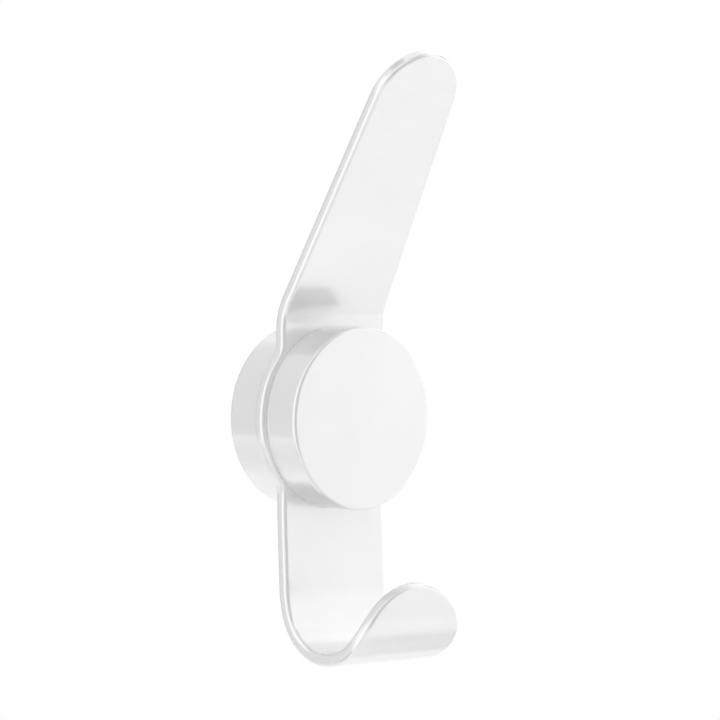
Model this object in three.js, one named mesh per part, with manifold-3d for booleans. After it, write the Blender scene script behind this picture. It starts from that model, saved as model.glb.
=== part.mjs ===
// Double wall hook: a bent sheet-metal hook, clamped between two round pucks on a hidden wall plate.
// Millimetres, +Z up. The wall is the plane y = 0 and the hook faces -Y. The origin is where the
// pucks' common axis meets the wall.

import * as THREE from 'three';
import { mergeVertices } from 'three/addons/utils/BufferGeometryUtils.js';
import Module from 'manifold-3d';

const wasm = await Module();
wasm.setup();

// Pucks. The rear one is as high as what it hides: the wall plate and the clamp screw's head.
const puckDiameter = 30;
const frontPuckHeight = 6.8;
const faceRimRadius = 0.5;
const seamRimRadius = 0.25;
const puckWall = 2.8;

// Sheet-metal hook
const sheet = 2;
const sheetEdgeRadius = 0.6;
const discOverhang = 0.9;
const discFillet = 3;
const neckWidth = 22.8;
const neckRun = 0.2;
const armBendRadius = 7.6;
const armLean = 29;
const armLength = 45.9;
const armTipWidth = 16.7;
const shankWidth = 22.2;
const shankRun = 0.2;
const shankBendRadius = 20;
const shankLean = 2.7;
const shankLength = 13.4;
const hookRadius = 8.6;
const hookTurn = 170;
const lipLength = 4.9;

// Clamp screw, from inside the rear puck into the front puck
const screwDiameter = 4;
const screwHeadDiameter = 7.4;
const screwHeadRim = 0.3;
const screwSocket = 2.5;
const screwSocketDepth = 1.2;
const screwSeatFloor = 0.6;
const screwCover = 1.9;

// Locating pins, which keep the hook upright between the pucks
const pinDiameter = 2.5;
const pinSpacing = 16;
const pinCover = 0.7;
const pinInFront = 3;
const pinChamfer = 0.3;

// Wall plate, which the rear puck slips over by a chamfered lead-in on both, with room in front of it
const wallScrewHole = 4.5;
const wallScrewHead = 8.4;
const wallScrewEdge = 0.7;
const grooveDepth = 1;
const grooveLip = 0.2;
const leadIn = 0.3;
const headroom = 0.5;

// Grub screw under the rear puck, whose point holds in the wall plate's groove
const grubDiameter = 3;
const grubHoleEdge = 0.6;
const grubSetback = 0.3;
const grubSocket = 1.5;
const grubSocketDepth = 1.2;

// Clearance between pieces that fit into each other, the least flat on the sheet's edge, and how far a
// cutter runs past a face
const clearance = 0.3;
const leastEdgeFlat = 0.2;
const overrun = 1;

// Facets: the sides of round pieces, the steps of small roundings and the turn of one bend facet
const puckSides = 72;
const screwSides = 32;
const roundingSteps = 3;
const tipSteps = 14;
const discSteps = 16;
const filletSteps = 4;
const facetTurn = 7;
const hexSides = 6;

// Sizes that follow from the driving ones
const puckRadius = puckDiameter / 2;
const discRadius = puckRadius + discOverhang;
const cavityRadius = puckRadius - puckWall;
const wallPlateRadius = cavityRadius - clearance;
const grubHeight = grubHoleEdge + grubDiameter / 2 + clearance;
const wallPlateThickness = grubHeight + grooveDepth + grooveLip + leadIn;
const wallScrewOffset = wallPlateRadius - wallScrewHead / 2 - wallScrewEdge;
const cavityDepth = wallPlateThickness + headroom;
const screwHeadHeight = screwHeadRim + (screwHeadDiameter - screwDiameter) / 2;
const puckFloor = screwHeadHeight + screwSeatFloor;
const rearPuckHeight = cavityDepth + puckFloor;
const screwBite = frontPuckHeight - screwCover - clearance;
const pinInRear = puckFloor - pinCover - clearance;
const edgeRadius = Math.min(sheetEdgeRadius, (sheet - leastEdgeFlat) / 2);
const radians = THREE.MathUtils.degToRad;

const lacquer = new THREE.MeshStandardMaterial({ color: 0xf3f3f3, roughness: 0.22, metalness: 0.6 });
const brightSteel = new THREE.MeshStandardMaterial({ color: 0xc4c6c8, roughness: 0.3, metalness: 1 });
const zincPlate = new THREE.MeshStandardMaterial({ color: 0xb3b6b8, roughness: 0.45, metalness: 1 });

// Solids: a closed geometry as a manifold, and back
function solidOf(geometry) {
  const bare = geometry.clone();
  bare.deleteAttribute('normal');
  bare.deleteAttribute('uv');
  const merged = mergeVertices(bare);
  return new wasm.Manifold(new wasm.Mesh({
    numProp: 3,
    vertProperties: new Float32Array(merged.attributes.position.array),
    triVerts: new Uint32Array(merged.index.array),
  }));
}

function geometryOf(solid) {
  const { vertProperties, triVerts } = solid.getMesh();
  const geometry = new THREE.BufferGeometry();
  geometry.setAttribute('position', new THREE.BufferAttribute(vertProperties, 3));
  geometry.setIndex(new THREE.BufferAttribute(triVerts, 1));
  geometry.computeVertexNormals();
  return geometry;
}

function cut(geometry, cutters) {
  const solid = cutters.reduce((rest, cutter) => rest.subtract(solidOf(cutter)), solidOf(geometry));
  return geometryOf(solid);
}

function piece(name, geometry, material) {
  const mesh = new THREE.Mesh(geometry, material);
  mesh.name = name;
  return mesh;
}

// Turned forms, about Y: a profile of [radius, y] from the axis back to the axis, with rising y outside
function turned(profile, sides) {
  return new THREE.LatheGeometry(profile.map(([radius, y]) => new THREE.Vector2(radius, y)), sides);
}

// A quarter round of a rim, centred inside it, from one angle to the next
function rim(radius, y, rounding, from, to) {
  const points = [];
  for (let step = 0; step <= roundingSteps; step += 1) {
    const angle = radians(from + (to - from) * step / roundingSteps);
    points.push([radius - rounding + rounding * Math.cos(angle), y + rounding * Math.sin(angle)]);
  }
  return points;
}

function rod(radius, fromY, toY, sides = screwSides) {
  return turned([[0, fromY], [radius, fromY], [radius, toY], [0, toY]], sides);
}

// Cutter for a countersunk hole along Y, through from y = 0 to the depth, where its cone opens
function countersink(holeRadius, headRadius, headRim, depth) {
  const coneEnd = depth - headRim;
  const coneStart = coneEnd - (headRadius - holeRadius);
  return turned([
    [0, -overrun],
    [holeRadius, -overrun],
    [holeRadius, coneStart],
    [headRadius, coneEnd],
    [headRadius, depth + overrun],
    [0, depth + overrun],
  ], screwSides);
}

// Hexagon socket cutter, opening at y = 0 and as deep as told, for a key of the given width
function hexSocket(acrossFlats, depth) {
  const cornerRadius = acrossFlats / 2 / Math.cos(Math.PI / hexSides);
  return rod(cornerRadius, -depth, overrun, hexSides);
}

// A strip's course away from the disc's centre: straight runs and forward bends, by their length on
// the middle of the sheet. The first run ends clear of the fillet and of the pucks.
const straight = (length) => ({ length, turn: 0 });

function bend(innerRadius, degrees) {
  const turn = radians(degrees);
  return { length: (innerRadius + sheet / 2) * turn, turn };
}

// Where a strip of the given half width leaves the fillet that joins it to the disc
function filletEnd(halfWidth) {
  return Math.sqrt((discRadius + discFillet) ** 2 - (halfWidth + discFillet) ** 2);
}

const armRoot = filletEnd(neckWidth / 2);
const shankRoot = filletEnd(shankWidth / 2);
const neckEnd = Math.max(armRoot, puckRadius) + neckRun;
const shankStart = Math.max(shankRoot, puckRadius) + shankRun;
const armCourse = [straight(neckEnd), bend(armBendRadius, armLean), straight(armLength)];
const shankCourse = [
  straight(shankStart),
  bend(shankBendRadius, shankLean),
  straight(shankLength),
  bend(hookRadius, hookTurn - shankLean),
  straight(lipLength),
];
const courseLength = (course) => course.reduce((total, run) => total + run.length, 0);

// Forward reach, rise and forward turn at a distance along a course
function along(course, distance) {
  let [forward, rise, angle, left] = [0, 0, 0, distance];
  for (const { length, turn } of course) {
    const share = Math.min(left, length) / length;
    const next = angle + turn * share;
    if (turn === 0) {
      forward += length * share * Math.sin(angle);
      rise += length * share * Math.cos(angle);
    } else {
      forward += (length / turn) * (Math.cos(angle) - Math.cos(next));
      rise += (length / turn) * (Math.sin(next) - Math.sin(angle));
    }
    angle = next;
    left -= length * share;
  }
  return { forward, rise, angle };
}

// Distances along a course where the bent sheet needs a fold line: the ends of its runs and facets
function foldLines(course) {
  const folds = [];
  let start = 0;
  for (const { length, turn } of course) {
    const facets = Math.max(1, Math.ceil(turn / radians(facetTurn)));
    for (let facet = 1; facet <= facets; facet += 1) {
      folds.push(start + length * facet / facets);
    }
    start += length;
  }
  return folds;
}

// The flat blank lies in x across and u up, with the disc's centre at the origin. A point of its outline
// carries the outward normal, which the rounded edge follows.
function outlineArc(centre, radius, from, to, steps, outward) {
  const points = [];
  for (let step = 0; step <= steps; step += 1) {
    const angle = from + (to - from) * step / steps;
    const arm = new THREE.Vector2(Math.cos(angle), Math.sin(angle));
    points.push({
      at: centre.clone().addScaledVector(arm, radius),
      normal: arm.multiplyScalar(outward),
    });
  }
  return points;
}

// A straight edge of the outline that rises from one point to another, with a point at each fold between
function outlineEdge(start, end, folds) {
  const run = end.clone().sub(start);
  const normal = new THREE.Vector2(run.y, -run.x).normalize();
  const between = folds.filter((u) => u > start.y && u < end.y).sort((a, b) => a - b);
  const shares = [...between.map((u) => (u - start.y) / run.y), 1];
  return shares.map((share) => ({ at: start.clone().addScaledVector(run, share), normal }));
}

// Right side of the blank, from the middle of the lip's end up to the middle of the arm's tip
function blankSide() {
  const lipRadius = shankWidth / 2;
  const lipCentre = new THREE.Vector2(0, lipRadius - courseLength(shankCourse));
  const shankFolds = foldLines(shankCourse).map((distance) => -distance);
  const shankBottom = new THREE.Vector2(lipRadius, lipCentre.y);
  const shankTop = new THREE.Vector2(lipRadius, -shankRoot);
  const lowerFillet = new THREE.Vector2(lipRadius + discFillet, -shankRoot);
  const lowerTouch = Math.atan2(shankRoot, lowerFillet.x);

  const neckHalf = neckWidth / 2;
  const upperFillet = new THREE.Vector2(neckHalf + discFillet, armRoot);
  const upperTouch = Math.atan2(armRoot, upperFillet.x);
  const neckBottom = new THREE.Vector2(neckHalf, armRoot);
  const neckTop = new THREE.Vector2(neckHalf, neckEnd);
  const tip = courseLength(armCourse);
  const taper = Math.atan2((neckWidth - armTipWidth) / 2, tip - neckTop.y);
  const tipRadius = (armTipWidth / 2) * Math.cos(taper) / (1 - Math.sin(taper));
  const tipCentre = new THREE.Vector2(0, tip - tipRadius);
  const tipNormal = new THREE.Vector2(Math.cos(taper), Math.sin(taper));
  const tipTouch = tipCentre.clone().addScaledVector(tipNormal, tipRadius);
  const armFolds = foldLines(armCourse);
  const disc = new THREE.Vector2(0, 0);
  const afterFirst = (points) => points.slice(1);

  return [
    ...outlineArc(lipCentre, lipRadius, -Math.PI / 2, 0, tipSteps, 1),
    ...outlineEdge(shankBottom, shankTop, shankFolds),
    ...afterFirst(outlineArc(lowerFillet, discFillet, Math.PI, Math.PI - lowerTouch, filletSteps, -1)),
    ...afterFirst(outlineArc(disc, discRadius, -lowerTouch, upperTouch, discSteps, 1)),
    ...afterFirst(outlineArc(upperFillet, discFillet, Math.PI + upperTouch, Math.PI, filletSteps, -1)),
    ...outlineEdge(neckBottom, neckTop, armFolds),
    ...outlineEdge(neckTop, tipTouch, armFolds),
    ...afterFirst(outlineArc(tipCentre, tipRadius, taper, Math.PI / 2, tipSteps, 1)),
  ];
}

// A point of the blank, at a height off the middle of the sheet, after bending
function bent(x, u, height) {
  const side = Math.sign(u) || 1;
  const { forward, rise, angle } = along(side > 0 ? armCourse : shankCourse, Math.abs(u));
  const reach = forward + height * Math.cos(angle);
  return [x, -reach, side * (rise - height * Math.sin(angle))];
}

// The bent sheet: rings of its rounded edge from the back face to the front face, then the two faces,
// each laid as straight rungs from side to side
function bentSheet() {
  const side = blankSide();
  const last = side.length - 1;
  const mirrored = ({ at, normal }) => ({
    at: new THREE.Vector2(-at.x, at.y),
    normal: new THREE.Vector2(-normal.x, normal.y),
  });
  const outline = [...side, ...side.slice(1, last).reverse().map(mirrored)];
  const count = outline.length;
  const positions = [];
  const triangles = [];
  const core = sheet / 2 - edgeRadius;
  const rings = [];
  for (const half of [-1, 1]) {
    for (let step = 0; step <= roundingSteps; step += 1) {
      const turn = Math.PI / 2 * step / roundingSteps;
      const angle = half < 0 ? turn - Math.PI / 2 : turn;
      rings.push({
        inset: edgeRadius * (1 - Math.cos(angle)),
        height: half * core + edgeRadius * Math.sin(angle),
      });
    }
  }
  for (const { inset, height } of rings) {
    for (const { at, normal } of outline) {
      positions.push(...bent(at.x - inset * normal.x, at.y - inset * normal.y, height));
    }
  }
  for (let ring = 0; ring < rings.length - 1; ring += 1) {
    for (let k = 0; k < count; k += 1) {
      const next = (k + 1) % count;
      const [a, b] = [ring * count + k, ring * count + next];
      triangles.push(a, b, b + count, a, b + count, a + count);
    }
  }
  const opposite = (k) => (count - k) % count;
  const frontStart = (rings.length - 1) * count;
  for (let k = 0; k < last; k += 1) {
    const rung = [k, k + 1, opposite(k + 1), opposite(k)];
    const halves = [];
    if (rung[1] !== rung[2]) {
      halves.push([rung[0], rung[1], rung[2]]);
    }
    if (rung[3] !== rung[0]) {
      halves.push([rung[0], rung[2], rung[3]]);
    }
    for (const [a, b, c] of halves) {
      triangles.push(frontStart + a, frontStart + b, frontStart + c);
      triangles.push(a, c, b);
    }
  }
  const geometry = new THREE.BufferGeometry();
  geometry.setAttribute('position', new THREE.Float32BufferAttribute(positions, 3));
  geometry.setIndex(triangles);
  return geometry;
}

const pinHeights = [pinSpacing / 2, -pinSpacing / 2];
const holeRadius = screwDiameter / 2 + clearance;
const pinHoleRadius = pinDiameter / 2 + clearance;

// Cutters for the pins' holes, from one y to the next
function pinHoleRow(fromY, toY) {
  return pinHeights.map((z) => rod(pinHoleRadius, fromY, toY).translate(0, 0, z));
}

// Hook plate, in the middle of the sheet: bent blank with the screw's and the pins' holes
function hookPlate() {
  const reach = sheet / 2 + overrun;
  return cut(bentSheet(), [rod(holeRadius, -reach, reach), ...pinHoleRow(-reach, reach)]);
}

// Rear puck, from the wall: a cup that opens to the wall, with the clamp screw's seat in its floor
function rearPuck() {
  const body = turned([
    [0, -rearPuckHeight],
    ...rim(puckRadius, seamRimRadius - rearPuckHeight, seamRimRadius, -90, 0),
    ...rim(puckRadius, -seamRimRadius, seamRimRadius, 0, 90),
    [cavityRadius + leadIn, 0],
    [cavityRadius, -leadIn],
    [cavityRadius, -cavityDepth],
    [0, -cavityDepth],
  ], puckSides);
  const seatGap = clearance * Math.SQRT2;
  const seat = countersink(holeRadius, screwHeadDiameter / 2 + seatGap, screwHeadRim, puckFloor);
  seat.translate(0, -rearPuckHeight, 0);
  const pinHoleEnd = pinInRear + clearance - rearPuckHeight;
  const pinHoles = pinHoleRow(-rearPuckHeight - overrun, pinHoleEnd);
  const grubHole = rod(grubDiameter / 2 + clearance, 0, puckRadius - cavityRadius + 2 * overrun);
  grubHole.rotateX(-Math.PI / 2);
  grubHole.translate(0, -grubHeight, overrun - cavityRadius);
  return cut(body, [seat, ...pinHoles, grubHole]);
}

// Front puck, from the plate: a plain disc with blind holes in its back
function frontPuck() {
  const body = turned([
    [0, -frontPuckHeight],
    ...rim(puckRadius, faceRimRadius - frontPuckHeight, faceRimRadius, -90, 0),
    ...rim(puckRadius, -seamRimRadius, seamRimRadius, 0, 90),
    [0, 0],
  ], puckSides);
  const screwHole = rod(holeRadius, -screwBite - clearance, overrun);
  return cut(body, [screwHole, ...pinHoleRow(-pinInFront - clearance, overrun)]);
}

// Clamp screw, from the top of its head, flush with the rear puck's floor
function clampScrew() {
  const headRadius = screwHeadDiameter / 2;
  const shankRadius = screwDiameter / 2;
  const end = -puckFloor - sheet - screwBite;
  const body = turned([
    [0, end],
    [shankRadius - pinChamfer, end],
    [shankRadius, end + pinChamfer],
    [shankRadius, -screwHeadHeight],
    [headRadius, -screwHeadRim],
    [headRadius, 0],
    [0, 0],
  ], screwSides);
  return cut(body, [hexSocket(screwSocket, screwSocketDepth)]);
}

// Locating pin, from its end in the rear puck
function locatingPin() {
  const radius = pinDiameter / 2;
  const end = -pinInRear - sheet - pinInFront;
  return turned([
    [0, end],
    [radius - pinChamfer, end],
    [radius, end + pinChamfer],
    [radius, -pinChamfer],
    [radius - pinChamfer, 0],
    [0, 0],
  ], screwSides);
}

// Wall plate, from the wall: a disc with a groove round its rim and two countersunk wall-screw holes
function wallPlate() {
  const body = turned([
    [0, -wallPlateThickness],
    [wallPlateRadius - leadIn, -wallPlateThickness],
    [wallPlateRadius, leadIn - wallPlateThickness],
    [wallPlateRadius, -grubHeight - grooveDepth],
    [wallPlateRadius - grooveDepth, -grubHeight],
    [wallPlateRadius, -grubHeight + grooveDepth],
    [wallPlateRadius, 0],
    [0, 0],
  ], puckSides);
  const holes = [1, -1].map((side) => {
    const hole = countersink(wallScrewHole / 2, wallScrewHead / 2, 0, wallPlateThickness);
    return hole.rotateX(Math.PI).translate(0, 0, side * wallScrewOffset);
  });
  return cut(body, holes);
}

// Grub screw, along its own axis from its socket end to its cone point
const grubPoint = wallPlateRadius - grooveDepth + clearance * Math.SQRT2;
const grubLength = puckRadius - grubSetback - grubPoint;

function grubScrew() {
  const radius = grubDiameter / 2;
  const body = turned([
    [0, -grubLength],
    [radius, radius - grubLength],
    [radius, 0],
    [0, 0],
  ], screwSides);
  return cut(body, [hexSocket(grubSocket, grubSocketDepth)]);
}

// Assembly: the hook on the wall
const hook = new THREE.Group();

const plate = piece('hook_plate', hookPlate(), lacquer);
plate.position.y = -rearPuckHeight - sheet / 2;

const rear = piece('rear_puck', rearPuck(), lacquer);

const front = piece('front_puck', frontPuck(), lacquer);
front.position.y = -rearPuckHeight - sheet;

const screw = piece('clamp_screw', clampScrew(), brightSteel);
screw.position.y = -cavityDepth;

const pins = ['locating_pin_upper', 'locating_pin_lower'].map((name, index) => {
  const pin = piece(name, locatingPin(), brightSteel);
  pin.position.set(0, pinInRear - rearPuckHeight, pinHeights[index]);
  return pin;
});

const wall = piece('wall_plate', wallPlate(), zincPlate);

const grub = piece('grub_screw', grubScrew(), brightSteel);
grub.rotation.x = -Math.PI / 2;
grub.position.set(0, -grubHeight, grubSetback - puckRadius);

hook.add(plate, rear, front, screw, ...pins, wall, grub);

export default hook;
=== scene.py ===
"""Double wall hook in white: a bent sheet-metal hook held between two round pucks, in a plain studio.

Metres, +Z up. The wall is the plane y = 0, the hook faces -Y, and the pucks are round about the Y axis.
"""
import math

import bmesh
import bpy
from mathutils import Matrix, Vector


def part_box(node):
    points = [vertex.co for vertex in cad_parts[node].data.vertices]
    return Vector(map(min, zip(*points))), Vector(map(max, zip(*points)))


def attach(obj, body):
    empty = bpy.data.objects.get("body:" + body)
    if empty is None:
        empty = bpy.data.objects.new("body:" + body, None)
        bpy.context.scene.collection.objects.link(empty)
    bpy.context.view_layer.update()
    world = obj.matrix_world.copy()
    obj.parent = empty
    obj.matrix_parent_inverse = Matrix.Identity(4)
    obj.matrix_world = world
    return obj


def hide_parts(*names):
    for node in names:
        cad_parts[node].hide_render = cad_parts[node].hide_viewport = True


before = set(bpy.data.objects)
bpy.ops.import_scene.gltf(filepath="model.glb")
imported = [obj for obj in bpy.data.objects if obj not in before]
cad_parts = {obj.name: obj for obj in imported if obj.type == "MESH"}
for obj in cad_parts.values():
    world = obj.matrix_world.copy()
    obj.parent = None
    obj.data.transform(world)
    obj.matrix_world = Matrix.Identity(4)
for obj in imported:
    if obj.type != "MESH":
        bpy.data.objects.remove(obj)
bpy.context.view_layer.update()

MM = 0.001

# Sizes and places that the frame gives
rear_low, rear_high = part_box("rear_puck")
front_low, front_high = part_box("front_puck")
screw_low, screw_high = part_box("clamp_screw")
pin_low, pin_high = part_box("locating_pin_upper")
wall_low, wall_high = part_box("wall_plate")
grub_low, grub_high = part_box("grub_screw")
PUCK_RADIUS = rear_high.x
SHEET = rear_low.y - front_high.y
SHEET_MIDDLE = (rear_low.y + front_high.y) / 2
HEAD_RADIUS = screw_high.x
PIN_RADIUS = pin_high.x
PIN_HEIGHT = (pin_low.z + pin_high.z) / 2
WALL_PLATE_RADIUS = wall_high.x
GRUB_RADIUS = grub_high.x
GRUB_AXIS = (grub_low.y + grub_high.y) / 2

# Pucks
CLEARANCE = 0.3 * MM
FACE_RIM = 0.5 * MM
SEAM_RIM = 0.1 * MM
LEAD_IN = 0.3 * MM
CAVITY_RIM = 0.2 * MM
CAVITY_RADIUS = WALL_PLATE_RADIUS + CLEARANCE
CAVITY_FLOOR = screw_high.y

# Bent sheet: widths, straight runs, and the inner radii and turns of its bends
EDGE_RADIUS = 0.6 * MM
DISC_OVERHANG = 0.9 * MM
DISC_RADIUS = PUCK_RADIUS + DISC_OVERHANG
DISC_FILLET = 3 * MM
NECK_WIDTH = 22.8 * MM
NECK_RUN = 0.2 * MM
ARM_BEND_RADIUS = 7.6 * MM
ARM_LEAN = math.radians(29)
ARM_LENGTH = 45.9 * MM
ARM_TIP_WIDTH = 16.7 * MM
SHANK_WIDTH = 22.2 * MM
SHANK_RUN = 0.2 * MM
SHANK_BEND_RADIUS = 20 * MM
SHANK_LEAN = math.radians(2.7)
SHANK_LENGTH = 11.4 * MM
LIP_LENGTH = 4.9 * MM

# Lower hook: a gentle ease and a tighter bend, with a whole turn that counts the shank's lean
HOOK_EASE_RADIUS = 16.7 * MM
HOOK_EASE_TURN = math.radians(15)
HOOK_RADIUS = 8.45 * MM
HOOK_TURN = math.radians(170)

# Hidden hardware
SCREW_RADIUS = 2 * MM
SCREW_PITCH = 0.7 * MM
SCREW_HEAD_RIM = 0.3 * MM
SCREW_SOCKET = 2.5 * MM
SCREW_SEAT = HEAD_RADIUS + CLEARANCE * math.sqrt(2)
SCREW_HOLE = SCREW_RADIUS + CLEARANCE
PIN_HOLE = PIN_RADIUS + CLEARANCE
GRUB_PITCH = 0.5 * MM
GRUB_SOCKET = 1.5 * MM
GRUB_HOLE = GRUB_RADIUS + CLEARANCE
SOCKET_DEPTH = 1.2 * MM
SOCKET_EDGE = 0.08 * MM
SOCKET_SLOPE = 1 / 3
END_CHAMFER = 0.3 * MM
SMALL_RIM = 0.05 * MM
GROOVE_DEPTH = 1 * MM
WALL_SCREW_HOLE = 2.25 * MM
WALL_SCREW_HEAD = 4.2 * MM
WALL_SCREW_EDGE = 0.7 * MM
WALL_PLATE_RIM = 0.15 * MM

# Thread form, as shares of the pitch, and the rows of points on each turn
THREAD_DEPTH = 0.61
ROOT_FLAT = 0.25
CREST_FLAT = 0.125
THREAD_ROWS = 12

# Facets
PUCK_SIDES = 240
HOLE_SIDES = 64
SCREW_SIDES = 48
HEX_SIDES = 6
ARC_STEP = math.radians(1.5)
BEND_STEP = math.radians(1.5)
ROUNDING_STEPS = 8
SUPPORT = 0.2 * MM
OVERRUN = 1 * MM
WELD = 0.001 * MM
SHARP_ANGLE = math.radians(35)

# Turns what was built along +Y to point down, as far from the wall as the grub screw
DOWNWARD = Matrix.Translation((0, GRUB_AXIS, 0)) @ Matrix.Rotation(-math.pi / 2, 4, "X")

# Patterns of the finishes, and the part of their range that is used
MOTTLE = {"feature": 14 * MM, "detail": 3}
SHEEN = {"feature": 5 * MM, "detail": 2}
ORANGE_PEEL = {"feature": 0.9 * MM, "detail": 1}
STAIN = {"feature": 2 * MM, "detail": 3}
PITTING = {"feature": 0.35 * MM, "detail": 2}
GRAIN = 0.7 * MM
RINGS = {"scale": 2200, "distortion": 1.5, "detail": 2}
PATTERN_LOW = 0.3
PATTERN_HIGH = 0.7

# Finishes: each colour and roughness runs from the first value to the second
LACQUER_METALLIC = 0.6
LACQUER_COLOURS = ((0.885, 0.885, 0.885), (0.915, 0.915, 0.915))
LACQUER_ROUGHNESS = (0.19, 0.23)
STEEL_COLOURS = ((0.56, 0.57, 0.585), (0.68, 0.685, 0.69))
STEEL_ROUGHNESS = (0.24, 0.36)
ZINC_COLOURS = ((0.5, 0.52, 0.54), (0.54, 0.56, 0.58))
ZINC_ROUGHNESS = (0.4, 0.52)
PEEL_DEPTH = 0.01 * MM
RING_DEPTH = 0.01 * MM
PIT_DEPTH = 0.02 * MM
BUMP_STRENGTH = 0.1

# Camera: its direction from the hook, its distance, and the point beside the origin that it looks at
CAMERA_AZIMUTH = math.radians(-42.82)
CAMERA_ELEVATION = math.radians(2.33)
CAMERA_ROLL = math.radians(0.18)
CAMERA_DISTANCE = 0.7927
CAMERA_LENS = 239.4
AIM_RIGHT = 10.29 * MM
AIM_UP = 9.07 * MM
CLIP_START = 0.05
CLIP_END = 50

# Floor and background
FLOOR_HEIGHT = -1
FLOOR_RADIUS = 5
FLOOR_SIDES = 64
FLOOR_GREY = 0.75
FLOOR_LIFT = 0.33
WHITE = (1, 1, 1, 1)


# Solids


def link(piece):
    bpy.context.scene.collection.objects.link(piece)
    return piece


def solid(name, points, faces):
    """A closed mesh with its faces pointing out."""
    mesh = bpy.data.meshes.new(name)
    mesh.from_pydata(points, [], faces)
    build = bmesh.new()
    build.from_mesh(mesh)
    bmesh.ops.recalc_face_normals(build, faces=build.faces)
    build.to_mesh(mesh)
    build.free()
    return link(bpy.data.objects.new(name, mesh))


def rounded(corners):
    """A profile of (radius, y) through corners (radius, y, rounding), with an arc at each rounding."""
    profile = []
    for index, (radius, y, rounding) in enumerate(corners):
        corner = Vector((radius, y))
        if rounding == 0:
            profile.append(corner)
            continue
        before = (corner - Vector(corners[index - 1][:2])).normalized()
        after = (Vector(corners[index + 1][:2]) - corner).normalized()
        turn = before.angle_signed(after)
        start = corner - before * rounding * math.tan(abs(turn) / 2)
        end = corner + after * rounding * math.tan(abs(turn) / 2)
        inward = (after - before).normalized()
        centre = corner + inward * rounding / math.cos(turn / 2)
        support = min(SUPPORT, rounding)
        profile.append(start - before * support)
        for step in range(ROUNDING_STEPS + 1):
            arm = start - centre
            arm.rotate(Matrix.Rotation(-turn * step / ROUNDING_STEPS, 2))
            profile.append(centre + arm)
        profile.append(end + after * support)
    return profile


def no_limit(y, angle):
    return math.inf


def turned(name, profile, sides, limit=no_limit):
    """A turned solid about Y, from a profile that starts and ends on the axis, no wider than the limit."""
    inner = profile[1:-1]
    points = [(0, profile[0][1], 0)]
    for radius, y in inner:
        for side in range(sides):
            angle = 2 * math.pi * side / sides
            reach = min(radius, limit(y, angle))
            points.append((reach * math.sin(angle), y, reach * math.cos(angle)))
    points.append((0, profile[-1][1], 0))
    last = len(points) - 1
    faces = []
    for side in range(sides):
        after = (side + 1) % sides
        faces.append((0, 1 + side, 1 + after))
        for row in range(len(inner) - 1):
            low = 1 + row * sides
            high = low + sides
            faces.append((low + side, high + side, high + after, low + after))
        top = 1 + (len(inner) - 1) * sides
        faces.append((last, top + after, top + side))
    return solid(name, points, faces)


def rod(radius, from_y, to_y, z=0):
    """A round cutter along Y, at a height."""
    profile = [(0, from_y), (radius, from_y), (radius, to_y), (0, to_y)]
    piece = turned("cutter", profile, HOLE_SIDES)
    piece.data.transform(Matrix.Translation((0, 0, z)))
    return piece


def weld(mesh):
    """Joins points of a mesh that lie on each other."""
    build = bmesh.new()
    build.from_mesh(mesh)
    bmesh.ops.remove_doubles(build, verts=build.verts, dist=WELD)
    build.to_mesh(mesh)
    build.free()


def cut(piece, cutters):
    """Cuts the cutters out of the piece for good, and removes them."""
    for cutter in cutters:
        hole = piece.modifiers.new("hole", "BOOLEAN")
        hole.operation = "DIFFERENCE"
        hole.solver = "EXACT"
        hole.object = cutter
    whole = piece.data
    shown = piece.evaluated_get(bpy.context.evaluated_depsgraph_get())
    piece.data = bpy.data.meshes.new_from_object(shown)
    piece.modifiers.clear()
    weld(piece.data)
    bpy.data.meshes.remove(whole)
    for cutter in cutters:
        bpy.data.meshes.remove(cutter.data)


def dress(piece, node, material):
    """Gives a piece its finish, and lets it stand for its node."""
    piece.data.shade_smooth()
    piece.data.set_sharp_from_angle(angle=SHARP_ANGLE)
    piece.data.materials.clear()
    piece.data.materials.append(material)
    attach(piece, "root")
    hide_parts(node)


# Bent sheet: a flat blank, x across and u up from the disc's centre, bent along a course each way


def bend(inner_radius, turn):
    """A bend of a course: its length along the middle of the sheet, and its turn."""
    return ((inner_radius + SHEET / 2) * turn, turn)


def fillet_end(half_width):
    """Where a strip of this half width leaves the fillet that joins it to the disc."""
    return math.sqrt((DISC_RADIUS + DISC_FILLET) ** 2 - (half_width + DISC_FILLET) ** 2)


ARM_ROOT = fillet_end(NECK_WIDTH / 2)
SHANK_ROOT = fillet_end(SHANK_WIDTH / 2)
NECK_END = max(ARM_ROOT, PUCK_RADIUS) + NECK_RUN
SHANK_START = max(SHANK_ROOT, PUCK_RADIUS) + SHANK_RUN
ARM_COURSE = [(NECK_END, 0), bend(ARM_BEND_RADIUS, ARM_LEAN), (ARM_LENGTH, 0)]
SHANK_COURSE = [
    (SHANK_START, 0),
    bend(SHANK_BEND_RADIUS, SHANK_LEAN),
    (SHANK_LENGTH, 0),
    bend(HOOK_EASE_RADIUS, HOOK_EASE_TURN),
    bend(HOOK_RADIUS, HOOK_TURN - HOOK_EASE_TURN - SHANK_LEAN),
    (LIP_LENGTH, 0),
]


def course_length(course):
    return sum(length for length, turn in course)


def along(course, distance):
    """Forward reach, rise and forward turn at a distance along a course."""
    forward, rise, angle, left = 0, 0, 0, distance
    for length, turn in course:
        share = min(left, length) / length
        after = angle + turn * share
        if turn == 0:
            forward += length * share * math.sin(angle)
            rise += length * share * math.cos(angle)
        else:
            forward += length / turn * (math.cos(angle) - math.cos(after))
            rise += length / turn * (math.sin(after) - math.sin(angle))
        angle = after
        left -= length * share
    return forward, rise, angle


def bent(x, u, height):
    """A point of the blank, at a height off the middle of the sheet, after bending."""
    side = -1 if u < 0 else 1
    forward, rise, angle = along(ARM_COURSE if side > 0 else SHANK_COURSE, abs(u))
    reach = forward + height * math.cos(angle)
    return (x, SHEET_MIDDLE - reach, side * (rise - height * math.sin(angle)))


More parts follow.
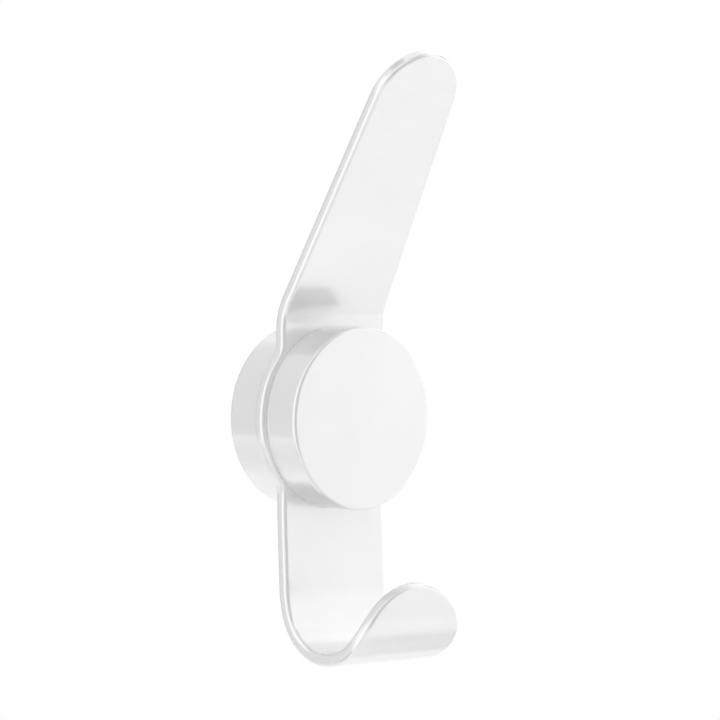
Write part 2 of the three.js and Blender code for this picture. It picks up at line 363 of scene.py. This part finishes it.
def fold_lines(course):
    """Distances along a course where the bent sheet needs a row of points."""
    folds = []
    start = 0
    for length, turn in course:
        steps = max(1, math.ceil(turn / BEND_STEP))
        folds += [start + length * step / steps for step in range(1, steps + 1)]
        start += length
    return folds


def outline_arc(centre, radius, start, end, outward=1):
    """Points of an arc with their outward normals."""
    steps = max(2, math.ceil(abs(end - start) / ARC_STEP))
    points = []
    for step in range(steps + 1):
        angle = start + (end - start) * step / steps
        normal = Vector((math.cos(angle), math.sin(angle)))
        points.append((centre + normal * radius, normal * outward))
    return points


def outline_edge(start, end, folds):
    """Points of a straight edge that rises from start to end, one at each fold and one at the end."""
    run = end - start
    normal = Vector((run.y, -run.x)).normalized()
    shares = sorted((u - start.y) / run.y for u in folds if start.y < u < end.y)
    return [(start + run * share, normal) for share in [*shares, 1]]


def blank_side():
    """Right side of the blank's outline, from the middle of the lip's end to that of the arm's tip."""
    lip_radius = SHANK_WIDTH / 2
    lip_centre = Vector((0, lip_radius - course_length(SHANK_COURSE)))
    lower_fillet = Vector((lip_radius + DISC_FILLET, -SHANK_ROOT))
    lower_touch = math.atan2(SHANK_ROOT, lower_fillet.x)
    shank_folds = [-distance for distance in fold_lines(SHANK_COURSE)]

    neck = NECK_WIDTH / 2
    upper_fillet = Vector((neck + DISC_FILLET, ARM_ROOT))
    upper_touch = math.atan2(ARM_ROOT, upper_fillet.x)
    tip = course_length(ARM_COURSE)
    taper = math.atan2((NECK_WIDTH - ARM_TIP_WIDTH) / 2, tip - NECK_END)
    tip_radius = ARM_TIP_WIDTH / 2 * math.cos(taper) / (1 - math.sin(taper))
    tip_centre = Vector((0, tip - tip_radius))
    tip_touch = tip_centre + tip_radius * Vector((math.cos(taper), math.sin(taper)))
    neck_end = Vector((neck, NECK_END))
    arm_folds = fold_lines(ARM_COURSE)
    half_turn = math.pi
    quarter = math.pi / 2

    shank = outline_edge(Vector((lip_radius, lip_centre.y)), Vector((lip_radius, -SHANK_ROOT)), shank_folds)
    lower = outline_arc(lower_fillet, DISC_FILLET, half_turn, half_turn - lower_touch, -1)
    disc = outline_arc(Vector((0, 0)), DISC_RADIUS, -lower_touch, upper_touch)
    upper = outline_arc(upper_fillet, DISC_FILLET, half_turn + upper_touch, half_turn, -1)
    tip_arc = outline_arc(tip_centre, tip_radius, taper, quarter)
    return [
        *outline_arc(lip_centre, lip_radius, -quarter, 0),
        *shank,
        *lower[1:],
        *disc[1:],
        *upper[1:],
        *outline_edge(Vector((neck, ARM_ROOT)), neck_end, arm_folds),
        *outline_edge(neck_end, tip_touch, arm_folds),
        *tip_arc[1:],
    ]


def edge_rings():
    """(inset, height) of the rings round the sheet's rounded edge, from the back face to the front."""
    core = SHEET / 2 - EDGE_RADIUS
    back = [(EDGE_RADIUS + SUPPORT, -SHEET / 2)]
    for step in range(ROUNDING_STEPS + 1):
        angle = math.pi / 2 * (1 - step / ROUNDING_STEPS)
        back.append((EDGE_RADIUS * (1 - math.cos(angle)), -core - EDGE_RADIUS * math.sin(angle)))
    front = [(inset, -height) for inset, height in reversed(back)]
    return back + front


def bent_sheet(name):
    """The whole sheet: rings of points round its edge, and rungs across its back and its front."""
    side = blank_side()
    last = len(side) - 1
    mirrored = [(Vector((-at.x, at.y)), Vector((-normal.x, normal.y))) for at, normal in side[1:last]]
    outline = side + mirrored[::-1]
    count = len(outline)
    rings = edge_rings()
    points = []
    for inset, height in rings:
        points += [bent(at.x - inset * normal.x, at.y - inset * normal.y, height) for at, normal in outline]
    faces = []
    for ring in range(len(rings) - 1):
        for index in range(count):
            low = ring * count + index
            after = ring * count + (index + 1) % count
            faces.append((low, after, after + count, low + count))
    for start in (0, (len(rings) - 1) * count):
        for index in range(last):
            rung = (index, index + 1, (count - index - 1) % count, (count - index) % count)
            faces.append([start + point for point in dict.fromkeys(rung)])
    return solid(name, points, faces)


# Hook and pucks


def pin_holes(from_y, to_y):
    return [rod(PIN_HOLE, from_y, to_y, z=side * PIN_HEIGHT) for side in (1, -1)]


def hook_sheet(material):
    """The bent sheet with holes for the clamp screw and the pins."""
    piece = bent_sheet("bent_hook_sheet")
    back = rear_low.y + OVERRUN
    face = front_high.y - OVERRUN
    cut(piece, [rod(SCREW_HOLE, face, back), *pin_holes(face, back)])
    dress(piece, "hook_plate", material)


def rear_puck(material):
    """A cup that opens to the wall, with the clamp screw's seat in its floor."""
    piece = turned("rear_puck_cup", rounded([
        (0, rear_low.y, 0),
        (PUCK_RADIUS, rear_low.y, SEAM_RIM),
        (PUCK_RADIUS, 0, FACE_RIM),
        (CAVITY_RADIUS + LEAD_IN, 0, SMALL_RIM),
        (CAVITY_RADIUS, -LEAD_IN, SMALL_RIM),
        (CAVITY_RADIUS, CAVITY_FLOOR, CAVITY_RIM),
        (0, CAVITY_FLOOR, 0),
    ]), PUCK_SIDES)
    cone_end = CAVITY_FLOOR - SCREW_HEAD_RIM - SCREW_SEAT + SCREW_HOLE
    seat = turned("cutter", [
        (0, rear_low.y - OVERRUN),
        (SCREW_HOLE, rear_low.y - OVERRUN),
        (SCREW_HOLE, cone_end),
        (SCREW_SEAT, CAVITY_FLOOR - SCREW_HEAD_RIM),
        (SCREW_SEAT, CAVITY_FLOOR + OVERRUN),
        (0, CAVITY_FLOOR + OVERRUN),
    ], HOLE_SIDES)
    grub_hole = rod(GRUB_HOLE, CAVITY_RADIUS - OVERRUN, PUCK_RADIUS + OVERRUN)
    grub_hole.data.transform(DOWNWARD)
    cut(piece, [seat, grub_hole, *pin_holes(rear_low.y - OVERRUN, pin_high.y + CLEARANCE)])
    dress(piece, "rear_puck", material)


def front_puck(material):
    """A plain disc with blind holes in its back."""
    piece = turned("front_puck_disc", rounded([
        (0, front_low.y, 0),
        (PUCK_RADIUS, front_low.y, FACE_RIM),
        (PUCK_RADIUS, front_high.y, SEAM_RIM),
        (0, front_high.y, 0),
    ]), PUCK_SIDES)
    back = front_high.y + OVERRUN
    screw_hole = rod(SCREW_HOLE, screw_low.y - CLEARANCE, back)
    cut(piece, [screw_hole, *pin_holes(pin_low.y - CLEARANCE, back)])
    dress(piece, "front_puck", material)


# Hidden hardware


def thread(radius, pitch, start):
    """The radius of a right-handed thread by y and angle, which runs from its start towards -Y."""

    def limit(y, angle):
        if y >= start:
            return math.inf
        phase = (y / pitch - angle / (2 * math.pi)) % 1
        rise = (abs(2 * phase - 1) - ROOT_FLAT) / (1 - CREST_FLAT - ROOT_FLAT)
        ridge = min(max(rise, 0), 1)
        run_out = min((start - y) / pitch, 1)
        return radius - THREAD_DEPTH * pitch * (1 - ridge) * run_out

    return limit


def thread_rows(start, end, pitch):
    """Profile points from start to end, close enough to show a thread."""
    run = Vector(end) - Vector(start)
    steps = math.ceil(run.length / pitch * THREAD_ROWS)
    return [Vector(start) + run * step / steps for step in range(1, steps)]


def socket_cutters(width, mouth):
    """Cutters for a hexagon socket in an end face at y = mouth, with a drilled bottom and a broken edge."""
    radius = width / math.sqrt(3)
    opening = radius + SOCKET_EDGE
    above = mouth + OVERRUN
    floor = mouth - SOCKET_DEPTH
    hexagon = [(0, floor - radius * SOCKET_SLOPE), (radius, floor), (radius, above), (0, above)]
    edge = [(0, mouth - opening), (opening, mouth), (opening, above), (0, above)]
    return [turned("cutter", hexagon, HEX_SIDES), turned("cutter", edge, HOLE_SIDES)]


def clamp_screw(material):
    """A countersunk machine screw, from inside the rear puck into the front puck."""
    head, end = screw_high.y, screw_low.y
    neck = head - SCREW_HEAD_RIM - HEAD_RADIUS + SCREW_RADIUS
    top = rounded([
        (0, head, 0),
        (HEAD_RADIUS, head, SMALL_RIM),
        (HEAD_RADIUS, head - SCREW_HEAD_RIM, SMALL_RIM),
        (SCREW_RADIUS, neck, 0),
    ])
    shank_end = (SCREW_RADIUS, end + END_CHAMFER)
    tip = (SCREW_RADIUS - END_CHAMFER, end)
    shank = thread_rows((SCREW_RADIUS, neck), shank_end, SCREW_PITCH)
    chamfer = thread_rows(shank_end, tip, SCREW_PITCH)
    profile = [*top, *shank, shank_end, *chamfer, tip, (0, end)]
    limit = thread(SCREW_RADIUS, SCREW_PITCH, neck)
    piece = turned("threaded_clamp_screw", profile, SCREW_SIDES, limit)
    cut(piece, socket_cutters(SCREW_SOCKET, head))
    dress(piece, "clamp_screw", material)


def locating_pin(name, node, side, material):
    """A chamfered dowel through the plate, above or below the screw."""
    inner = PIN_RADIUS - END_CHAMFER
    piece = turned(name, rounded([
        (0, pin_low.y, 0),
        (inner, pin_low.y, SMALL_RIM),
        (PIN_RADIUS, pin_low.y + END_CHAMFER, SMALL_RIM),
        (PIN_RADIUS, pin_high.y - END_CHAMFER, SMALL_RIM),
        (inner, pin_high.y, SMALL_RIM),
        (0, pin_high.y, 0),
    ]), SCREW_SIDES)
    piece.data.transform(Matrix.Translation((0, 0, side * PIN_HEIGHT)))
    dress(piece, node, material)


def wall_screw_hole(z):
    """Cutter for a countersunk hole of the wall plate, with a broken edge at the wall."""
    wide = WALL_SCREW_HOLE + WALL_PLATE_RIM
    cone_end = wall_low.y + WALL_SCREW_HEAD - WALL_SCREW_HOLE
    hole = turned("cutter", [
        (0, wall_low.y - OVERRUN),
        (WALL_SCREW_HEAD + OVERRUN, wall_low.y - OVERRUN),
        (WALL_SCREW_HOLE, cone_end),
        (WALL_SCREW_HOLE, -WALL_PLATE_RIM),
        (wide + OVERRUN, OVERRUN),
        (0, OVERRUN),
    ], HOLE_SIDES)
    hole.data.transform(Matrix.Translation((0, 0, z)))
    return hole


def wall_plate(material):
    """A disc with a groove round its rim for the grub screw's point, and two countersunk holes."""
    piece = turned("grooved_wall_plate", rounded([
        (0, 0, 0),
        (WALL_PLATE_RADIUS, 0, WALL_PLATE_RIM),
        (WALL_PLATE_RADIUS, GRUB_AXIS + GROOVE_DEPTH, SMALL_RIM),
        (WALL_PLATE_RADIUS - GROOVE_DEPTH, GRUB_AXIS, SMALL_RIM),
        (WALL_PLATE_RADIUS, GRUB_AXIS - GROOVE_DEPTH, SMALL_RIM),
        (WALL_PLATE_RADIUS, wall_low.y + LEAD_IN, 0),
        (WALL_PLATE_RADIUS - LEAD_IN, wall_low.y, 0),
        (0, wall_low.y, 0),
    ]), PUCK_SIDES)
    offset = WALL_PLATE_RADIUS - WALL_SCREW_HEAD - WALL_SCREW_EDGE
    cut(piece, [wall_screw_hole(offset), wall_screw_hole(-offset)])
    dress(piece, "wall_plate", material)


def grub_screw(material):
    """A set screw with a cone point, built along Y from its socket to its point and turned upward."""
    mouth, point = -grub_low.z, -grub_high.z
    shoulder = (GRUB_RADIUS, point + GRUB_RADIUS)
    bevel = (GRUB_RADIUS, mouth - END_CHAMFER)
    rim = (GRUB_RADIUS - END_CHAMFER, mouth)
    profile = [
        (0, mouth),
        rim,
        *thread_rows(rim, bevel, GRUB_PITCH),
        bevel,
        *thread_rows(bevel, shoulder, GRUB_PITCH),
        shoulder,
        *thread_rows(shoulder, (0, point), GRUB_PITCH),
        (0, point),
    ]
    limit = thread(GRUB_RADIUS, GRUB_PITCH, mouth + GRUB_PITCH)
    piece = turned("threaded_grub_screw", profile, SCREW_SIDES, limit)
    cut(piece, socket_cutters(GRUB_SOCKET, mouth))
    piece.data.transform(DOWNWARD)
    dress(piece, "grub_screw", material)


# Materials


def new_material(name):
    """A material and its principled shader."""
    material = bpy.data.materials.new(name)
    material.use_nodes = True
    return material, material.node_tree.nodes["Principled BSDF"]


def add_node(tree, kind, **values):
    """A node with values set on its sockets: from_min goes to the socket From Min."""
    node = tree.nodes.new(kind)
    for key, value in values.items():
        node.inputs[key.replace("_", " ").title()].default_value = value
    return node


def clouds(tree, feature, detail):
    """Soft noise about 0.5, with patches as large as the feature."""
    place = add_node(tree, "ShaderNodeTexCoord")
    noise = add_node(tree, "ShaderNodeTexNoise", scale=1 / feature, detail=detail)
    tree.links.new(place.outputs["Object"], noise.inputs["Vector"])
    return noise.outputs["Fac"]


def grains(tree, feature):
    """Crystal grains as large as the feature, each with a level of its own."""
    place = add_node(tree, "ShaderNodeTexCoord")
    cells = add_node(tree, "ShaderNodeTexVoronoi", scale=1 / feature)
    tree.links.new(place.outputs["Object"], cells.inputs["Vector"])
    return cells.outputs["Color"]


def turning_marks(tree, direction):
    """Fine rings left by a lathe across an axis."""
    place = add_node(tree, "ShaderNodeTexCoord")
    rings = add_node(tree, "ShaderNodeTexWave", **RINGS)
    rings.bands_direction = direction
    tree.links.new(place.outputs["Object"], rings.inputs["Vector"])
    return rings.outputs["Fac"]


def spread(tree, source, low, high):
    """Spreads the middle of a pattern over a range."""
    middle = {"from_min": PATTERN_LOW, "from_max": PATTERN_HIGH}
    span = add_node(tree, "ShaderNodeMapRange", **middle, to_min=low, to_max=high)
    tree.links.new(source, span.inputs["Value"])
    return span.outputs["Result"]


def tint(tree, source, low, high):
    """Colours a pattern from one colour to another."""
    ramp = add_node(tree, "ShaderNodeValToRGB")
    ramp.color_ramp.elements[0].color = (*low, 1)
    ramp.color_ramp.elements[1].color = (*high, 1)
    tree.links.new(spread(tree, source, 0, 1), ramp.inputs["Fac"])
    return ramp.outputs["Color"]


def roughen(tree, shader, source, depth):
    """Lets a pattern stand out of the surface by a small depth."""
    bump = add_node(tree, "ShaderNodeBump", strength=BUMP_STRENGTH, distance=depth)
    tree.links.new(source, bump.inputs["Height"])
    tree.links.new(bump.outputs["Normal"], shader.inputs["Normal"])


def lacquer_material():
    """White satin lacquer with a metal sheen, faintly mottled, with a trace of orange peel."""
    material, shader = new_material("white_lacquer")
    tree = material.node_tree
    shader.inputs["Metallic"].default_value = LACQUER_METALLIC
    colour = tint(tree, clouds(tree, **MOTTLE), *LACQUER_COLOURS)
    tree.links.new(colour, shader.inputs["Base Color"])
    roughness = spread(tree, clouds(tree, **SHEEN), *LACQUER_ROUGHNESS)
    tree.links.new(roughness, shader.inputs["Roughness"])
    roughen(tree, shader, clouds(tree, **ORANGE_PEEL), PEEL_DEPTH)
    return material


def steel_material(name, direction):
    """Bright steel, turned on a lathe about an axis, with faint stains."""
    material, shader = new_material(name)
    tree = material.node_tree
    shader.inputs["Metallic"].default_value = 1
    colour = tint(tree, clouds(tree, **STAIN), *STEEL_COLOURS)
    tree.links.new(colour, shader.inputs["Base Color"])
    marks = turning_marks(tree, direction)
    tree.links.new(spread(tree, marks, *STEEL_ROUGHNESS), shader.inputs["Roughness"])
    roughen(tree, shader, marks, RING_DEPTH)
    return material


def zinc_material():
    """Dull zinc plating, with a grain of small crystals and fine pits."""
    material, shader = new_material("dull_zinc")
    tree = material.node_tree
    shader.inputs["Metallic"].default_value = 1
    colour = tint(tree, grains(tree, GRAIN), *ZINC_COLOURS)
    tree.links.new(colour, shader.inputs["Base Color"])
    roughness = spread(tree, clouds(tree, **STAIN), *ZINC_ROUGHNESS)
    tree.links.new(roughness, shader.inputs["Roughness"])
    roughen(tree, shader, clouds(tree, **PITTING), PIT_DEPTH)
    return material


def make_matte(shader, grey):
    """Makes a surface dull, in one grey."""
    shader.inputs["Base Color"].default_value = (grey, grey, grey, 1)
    shader.inputs["Roughness"].default_value = 1
    shader.inputs["Specular IOR Level"].default_value = 0


# Camera, floor and light


def direction_to(azimuth, elevation):
    """From the hook to a place round it: azimuth 0 is straight ahead of the wall, and grows towards +X."""
    level = math.cos(elevation)
    return Vector((math.sin(azimuth) * level, -math.cos(azimuth) * level, math.sin(elevation)))


def add_camera():
    """The camera of the picture: it looks at a point beside the origin, from round the hook's left."""
    back = direction_to(CAMERA_AZIMUTH, CAMERA_ELEVATION)
    level = Vector((math.cos(CAMERA_AZIMUTH), math.sin(CAMERA_AZIMUTH), 0))
    right = Matrix.Rotation(CAMERA_ROLL, 3, back) @ level
    up = back.cross(right)
    place = right * AIM_RIGHT + up * AIM_UP + back * CAMERA_DISTANCE
    data = bpy.data.cameras.new("camera")
    data.lens = CAMERA_LENS
    data.clip_start = CLIP_START
    data.clip_end = CLIP_END
    camera = link(bpy.data.objects.new("camera", data))
    camera.matrix_world = Matrix.Translation(place) @ Matrix((right, up, back)).transposed().to_4x4()
    bpy.context.scene.camera = camera


def to_the_eye(tree):
    """A socket that is 1 for rays from the camera and for what mirrors or glass show, and else 0."""
    path = tree.nodes.new("ShaderNodeLightPath")
    seen = path.outputs["Is Camera Ray"]
    for name in ("Is Glossy Ray", "Is Transmission Ray"):
        either = tree.nodes.new("ShaderNodeMath")
        either.operation = "MAXIMUM"
        tree.links.new(seen, either.inputs[0])
        tree.links.new(path.outputs[name], either.inputs[1])
        seen = either.outputs[0]
    return seen


def add_floor():
    """A pale floor well below the hook, lifted to white where no shadow falls on it."""
    angles = [2 * math.pi * side / FLOOR_SIDES for side in range(FLOOR_SIDES)]
    rim = [(FLOOR_RADIUS * math.cos(angle), FLOOR_RADIUS * math.sin(angle), FLOOR_HEIGHT) for angle in angles]
    mesh = bpy.data.meshes.new("floor")
    mesh.from_pydata(rim, [], [list(range(FLOOR_SIDES))])
    floor = link(bpy.data.objects.new("floor", mesh))
    material, shader = new_material("pale_floor")
    make_matte(shader, FLOOR_GREY)
    tree = material.node_tree
    shader.inputs["Emission Color"].default_value = WHITE
    lift = tree.nodes.new("ShaderNodeMath")
    lift.operation = "MULTIPLY"
    lift.inputs[1].default_value = FLOOR_LIFT
    tree.links.new(to_the_eye(tree), lift.inputs[0])
    tree.links.new(lift.outputs[0], shader.inputs["Emission Strength"])
    mesh.materials.append(material)


def add_world():
    """Even white light from all round, which is also the background."""
    world = bpy.data.worlds.new("studio")
    bpy.context.scene.world = world
    world.use_nodes = True
    background = world.node_tree.nodes["Background"]
    background.inputs["Color"].default_value = WHITE
    background.inputs["Strength"].default_value = 1


def facing(azimuth, elevation, distance):
    """A place round the hook, in degrees, and the turn that faces it to the hook with its Y axis up."""
    back = direction_to(math.radians(azimuth), math.radians(elevation))
    return Matrix.Translation(back * distance) @ back.to_track_quat("Z", "Y").to_matrix().to_4x4()


def add_lamp(name, azimuth, elevation, distance, width, height, power):
    """A soft box that faces the hook."""
    data = bpy.data.lights.new(name, "AREA")
    data.shape = "RECTANGLE"
    data.size = width
    data.size_y = height
    data.energy = power
    lamp = link(bpy.data.objects.new(name, data))
    lamp.matrix_world = facing(azimuth, elevation, distance)
    lamp.visible_camera = False


def add_card(name, azimuth, elevation, distance, width, height, grey):
    """A grey card that faces the hook and shades its reflections, out of the camera's sight."""
    right = width / 2
    top = height / 2
    corners = [(-right, -top, 0), (right, -top, 0), (right, top, 0), (-right, top, 0)]
    mesh = bpy.data.meshes.new(name)
    mesh.from_pydata(corners, [], [(0, 1, 2, 3)])
    card = link(bpy.data.objects.new(name, mesh))
    card.matrix_world = facing(azimuth, elevation, distance)
    card.visible_camera = False
    material, shader = new_material(name)
    make_matte(shader, grey)
    mesh.materials.append(material)


def add_studio():
    """Floor, background, soft boxes, and cards that shade what the hook mirrors."""
    add_floor()
    add_world()
    add_lamp("right_soft_box", azimuth=81, elevation=20, distance=1, width=1.8, height=1.7, power=2.7)
    add_lamp("left_soft_box", azimuth=-103, elevation=9, distance=1, width=0.6, height=1.4, power=0.9)
    add_lamp("low_soft_box", azimuth=52, elevation=-38, distance=1, width=0.6, height=0.5, power=0.08)
    add_card("front_card", azimuth=-6, elevation=12, distance=1.15, width=1.9, height=1.4, grey=0.66)
    add_card("low_front_card", azimuth=30, elevation=-27, distance=1, width=0.28, height=0.3, grey=0.8)
    add_card("rear_card_high", azimuth=-156, elevation=20, distance=0.9, width=0.96, height=1.4, grey=0.875)
    add_card("rear_card_low", azimuth=-150, elevation=-31, distance=0.9, width=1.2, height=0.32, grey=0.98)
    add_card("back_card", azimuth=163, elevation=8, distance=0.8, width=0.85, height=0.55, grey=0.55)
    add_card("top_card_right", azimuth=26, elevation=63, distance=0.8, width=0.54, height=0.42, grey=0.79)
    add_card("side_card_right", azimuth=66, elevation=20, distance=0.8, width=0.16, height=0.3, grey=0.72)
    add_card("top_card_left", azimuth=-130, elevation=70, distance=0.8, width=0.34, height=0.3, grey=0.66)
    add_card("low_card_left", azimuth=-22, elevation=-46, distance=0.8, width=0.9, height=0.32, grey=0.92)
    add_card("low_card_right", azimuth=88, elevation=-46, distance=0.8, width=0.5, height=0.09, grey=0.95)
    add_card("low_card_rear", azimuth=-116, elevation=-42, distance=0.8, width=0.3, height=0.4, grey=0.5)
    add_card("bend_card", azimuth=52.7, elevation=42.3, distance=0.116, width=0.018, height=0.035, grey=0.8)


# The picture

lacquer = lacquer_material()
hook_sheet(lacquer)
rear_puck(lacquer)
front_puck(lacquer)

steel = steel_material("bright_steel", "Y")
clamp_screw(steel)
locating_pin("upper_dowel_pin", "locating_pin_upper", 1, steel)
locating_pin("lower_dowel_pin", "locating_pin_lower", -1, steel)
grub_screw(steel_material("bright_steel_upright", "Z"))
wall_plate(zinc_material())

add_camera()
add_studio()
bpy.context.scene.view_settings.view_transform = "Standard"
